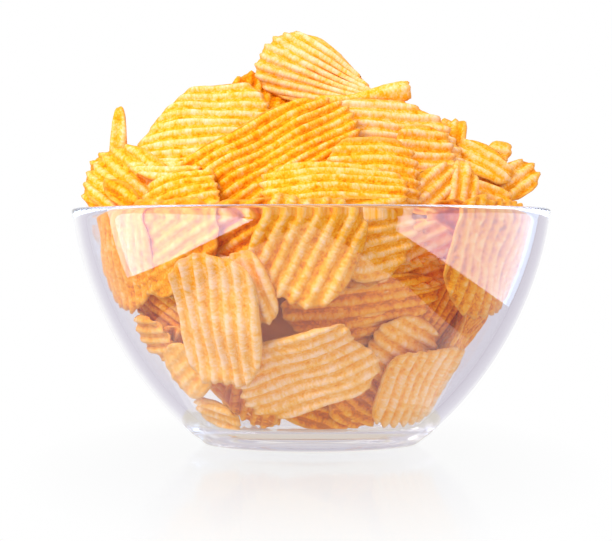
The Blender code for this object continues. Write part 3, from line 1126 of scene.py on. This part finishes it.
# %% The cards
def card(name, corners, near, far, colour="#FFFFFF"):
    """A glowing card that lights nothing and shows only in what reflects or refracts it. Its
    strength goes evenly from `near` at the end towards the camera to `far` at the other."""
    made, tree = new_material(name)
    depths = [corner[1] for corner in corners]
    place = add(tree, "TexCoord").outputs["Object"]
    depth = add(tree, "SeparateXYZ", Vector=place).outputs["Y"]
    strength = add(tree, "MapRange", Value=depth, From_Min=min(depths),
                   From_Max=max(depths), To_Min=near, To_Max=far).outputs[0]
    glow = add(tree, "Emission", Color=linear(colour), Strength=strength)
    add(tree, "OutputMaterial", Surface=glow.outputs[0])
    sheet = stage_face(name, corners, made)
    sheet.visible_camera = False
    sheet.visible_diffuse = False
    sheet.visible_shadow = False
    return sheet


BOX_SIDE, BOX_TOP = 0.5, 0.25
card("left_box", [
    (-BOX_SIDE, 0.13, -0.12),
    (-BOX_SIDE, -0.95, -0.21),
    (-BOX_SIDE, -0.95, BOX_TOP),
    (-BOX_SIDE, 0.13, BOX_TOP),
], 6.8, 4.8, "#D8E4FF")
card("right_box", [
    (BOX_SIDE, -0.58, -0.17),
    (BOX_SIDE, 0.46, -0.15),
    (BOX_SIDE, 0.46, BOX_TOP),
    (BOX_SIDE, -0.58, BOX_TOP),
], 5.5, 2.3, "#C8DEFC")
PATCH_Z = TABLE_Z - 0.4 * MM
patch_outline = (
    (-0.01, -0.33),
    (0.064, -0.205),
    (0.098, -0.113),
    (0.108, -0.015),
    (-0.123, -0.015),
    (-0.123, -0.047),
    (-0.096, -0.197),
)
card("bright_table", [(x, y, PATCH_Z) for x, y in patch_outline], 1.1, 1.1)
foot_turns = np.linspace(0, 2 * math.pi, 48, endpoint=False)
card("under_foot", [(0.055 * math.cos(turn), 0.055 * math.sin(turn), TABLE_Z - 0.2 * MM)
                    for turn in foot_turns], 0.84, 0.78, "#F2EBE0")
print("cards, m apart:", 2 * BOX_SIDE)

# %% [markdown]
# The studio's light comes evenly from all sides. What the glass shows of the room is another matter:
# it is white behind the bowl and dusky towards the camera, which gives the edges their grey bands.
# Light turns round many times inside the rim before it gets out, so it is followed for long: if it
# were given up early, the rim's ends would be black.

# %% The room that the glass shows
BOUNCES = 160
scene = bpy.context.scene
scene.view_settings.view_transform = "Standard"
scene.cycles.max_bounces = BOUNCES
scene.cycles.transmission_bounces = BOUNCES
scene.cycles.glossy_bounces = BOUNCES
scene.cycles.transparent_max_bounces = BOUNCES
scene.world = bpy.data.worlds.new("studio")
scene.world.use_nodes = True
sky = scene.world.node_tree
sky.nodes.clear()
way = add(sky, "TexCoord").outputs["Generated"]
heading = add(sky, "SeparateXYZ", Vector=way)
backwards = add(sky, "VectorMath", {"operation": "DOT_PRODUCT"}, i0=way,
                i1=(-0.1, 0.995, 0.0)).outputs["Value"]
away = add(sky, "MapRange", Value=backwards, From_Min=-1.0, From_Max=1.0).outputs[0]
mirrored = ramp(sky, away, (
    (0.0, "#4C4854"),
    (0.40, "#6C6878"),
    (0.62, "#A8A4B6"),
    (0.80, "#C4C1D0"),
    (0.93, "#D8D6E2"),
    (0.985, "#FFFFFF"),
))
refracted = ramp(sky, away, (
    (0.0, "#5E5A66"),
    (0.40, "#858090"),
    (0.62, "#AAA6B4"),
    (0.84, "#D0CBD4"),
    (0.94, "#E2DEE5"),
    (0.975, "#EFECF1"),
    (0.992, "#FFFFFF"),
))
path = add(sky, "LightPath")
walls = add(sky, "Mix", {"data_type": "RGBA"}, i0=path.outputs["Is Transmission Ray"],
            i6=mirrored, i7=refracted).outputs[2]
overhead = add(sky, "MapRange", Value=heading.outputs["Z"], From_Min=0.08,
               From_Max=0.4).outputs[0]
room = add(sky, "Mix", {"data_type": "RGBA"}, i0=overhead, i6=walls,
           i7=linear("#CFCDD8")).outputs[2]
seen_room = add(sky, "Background", Color=room, Strength=1.0)

# %% [markdown]
# The crisps are lit by an even white, a little weaker from below, and the camera sees plain white.

# %% The even light
upwards = add(sky, "MapRange", Value=heading.outputs["Z"], From_Min=-0.6, From_Max=0.8,
              To_Min=0.95, To_Max=1.0).outputs[0]
even = add(sky, "Background", Color=linear("#FFFFFF"), Strength=upwards)
white = add(sky, "Background", Color=linear("#FFFFFF"), Strength=1.0)
lit = add(sky, "MixShader", i0=path.outputs["Is Diffuse Ray"], i1=seen_room.outputs[0],
          i2=even.outputs[0])
whole = add(sky, "MixShader", i0=path.outputs["Is Camera Ray"], i1=lit.outputs[0],
            i2=white.outputs[0])
add(sky, "OutputWorld", Surface=whole.outputs[0])
print("nodes of the studio's light:", len(sky.nodes))


# %% [markdown]
# One soft box from the upper left gives the ridges their light and dark sides. It is turned off for
# reflections, as the cards stand for what the glass gives back.


# %% The soft box
def soft_box(name, place, aim, size, power):
    """An area light at `place` whose face looks at `aim`."""
    lamp = bpy.data.lights.new(name, "AREA")
    lamp.shape = "RECTANGLE"
    lamp.size, lamp.size_y = size
    lamp.energy = power
    made = bpy.data.objects.new(name, lamp)
    scene.collection.objects.link(made)
    made.location = place
    heading = mathutils.Vector(aim) - mathutils.Vector(place)
    made.rotation_mode = "QUATERNION"
    made.rotation_quaternion = heading.to_track_quat("-Z", "Y")
    made.visible_glossy = False
    return made


key = soft_box("key", (-0.6, -0.6, 0.8), (0, 0, 0.08), (0.4, 0.4), 10)
print("soft box to the bowl, m:", round(key.location.length, 2))

# %% [markdown]
# The camera looks nearly level at the bowl, from 0.85 m, through a long lens, so the rim is almost
# a line and the bowl keeps its true outline.

# %% The camera
CAMERA_DISTANCE = 0.850
LOOKS_DOWN = math.radians(0.55)
camera_data = bpy.data.cameras.new("camera")
camera_data.sensor_width = 36.0
camera_data.lens = 140.3
camera_data.clip_start = 0.05
camera = bpy.data.objects.new("camera", camera_data)
scene.collection.objects.link(camera)
camera.location = (-1.85 * MM, -CAMERA_DISTANCE, 69.6 * MM)
camera.rotation_euler = (math.radians(90) - LOOKS_DOWN, 0.0, 0.0)
scene.camera = camera
width_in_view = CAMERA_DISTANCE * camera_data.sensor_width / camera_data.lens
print("width in view at the bowl, mm:", round(width_in_view / MM))
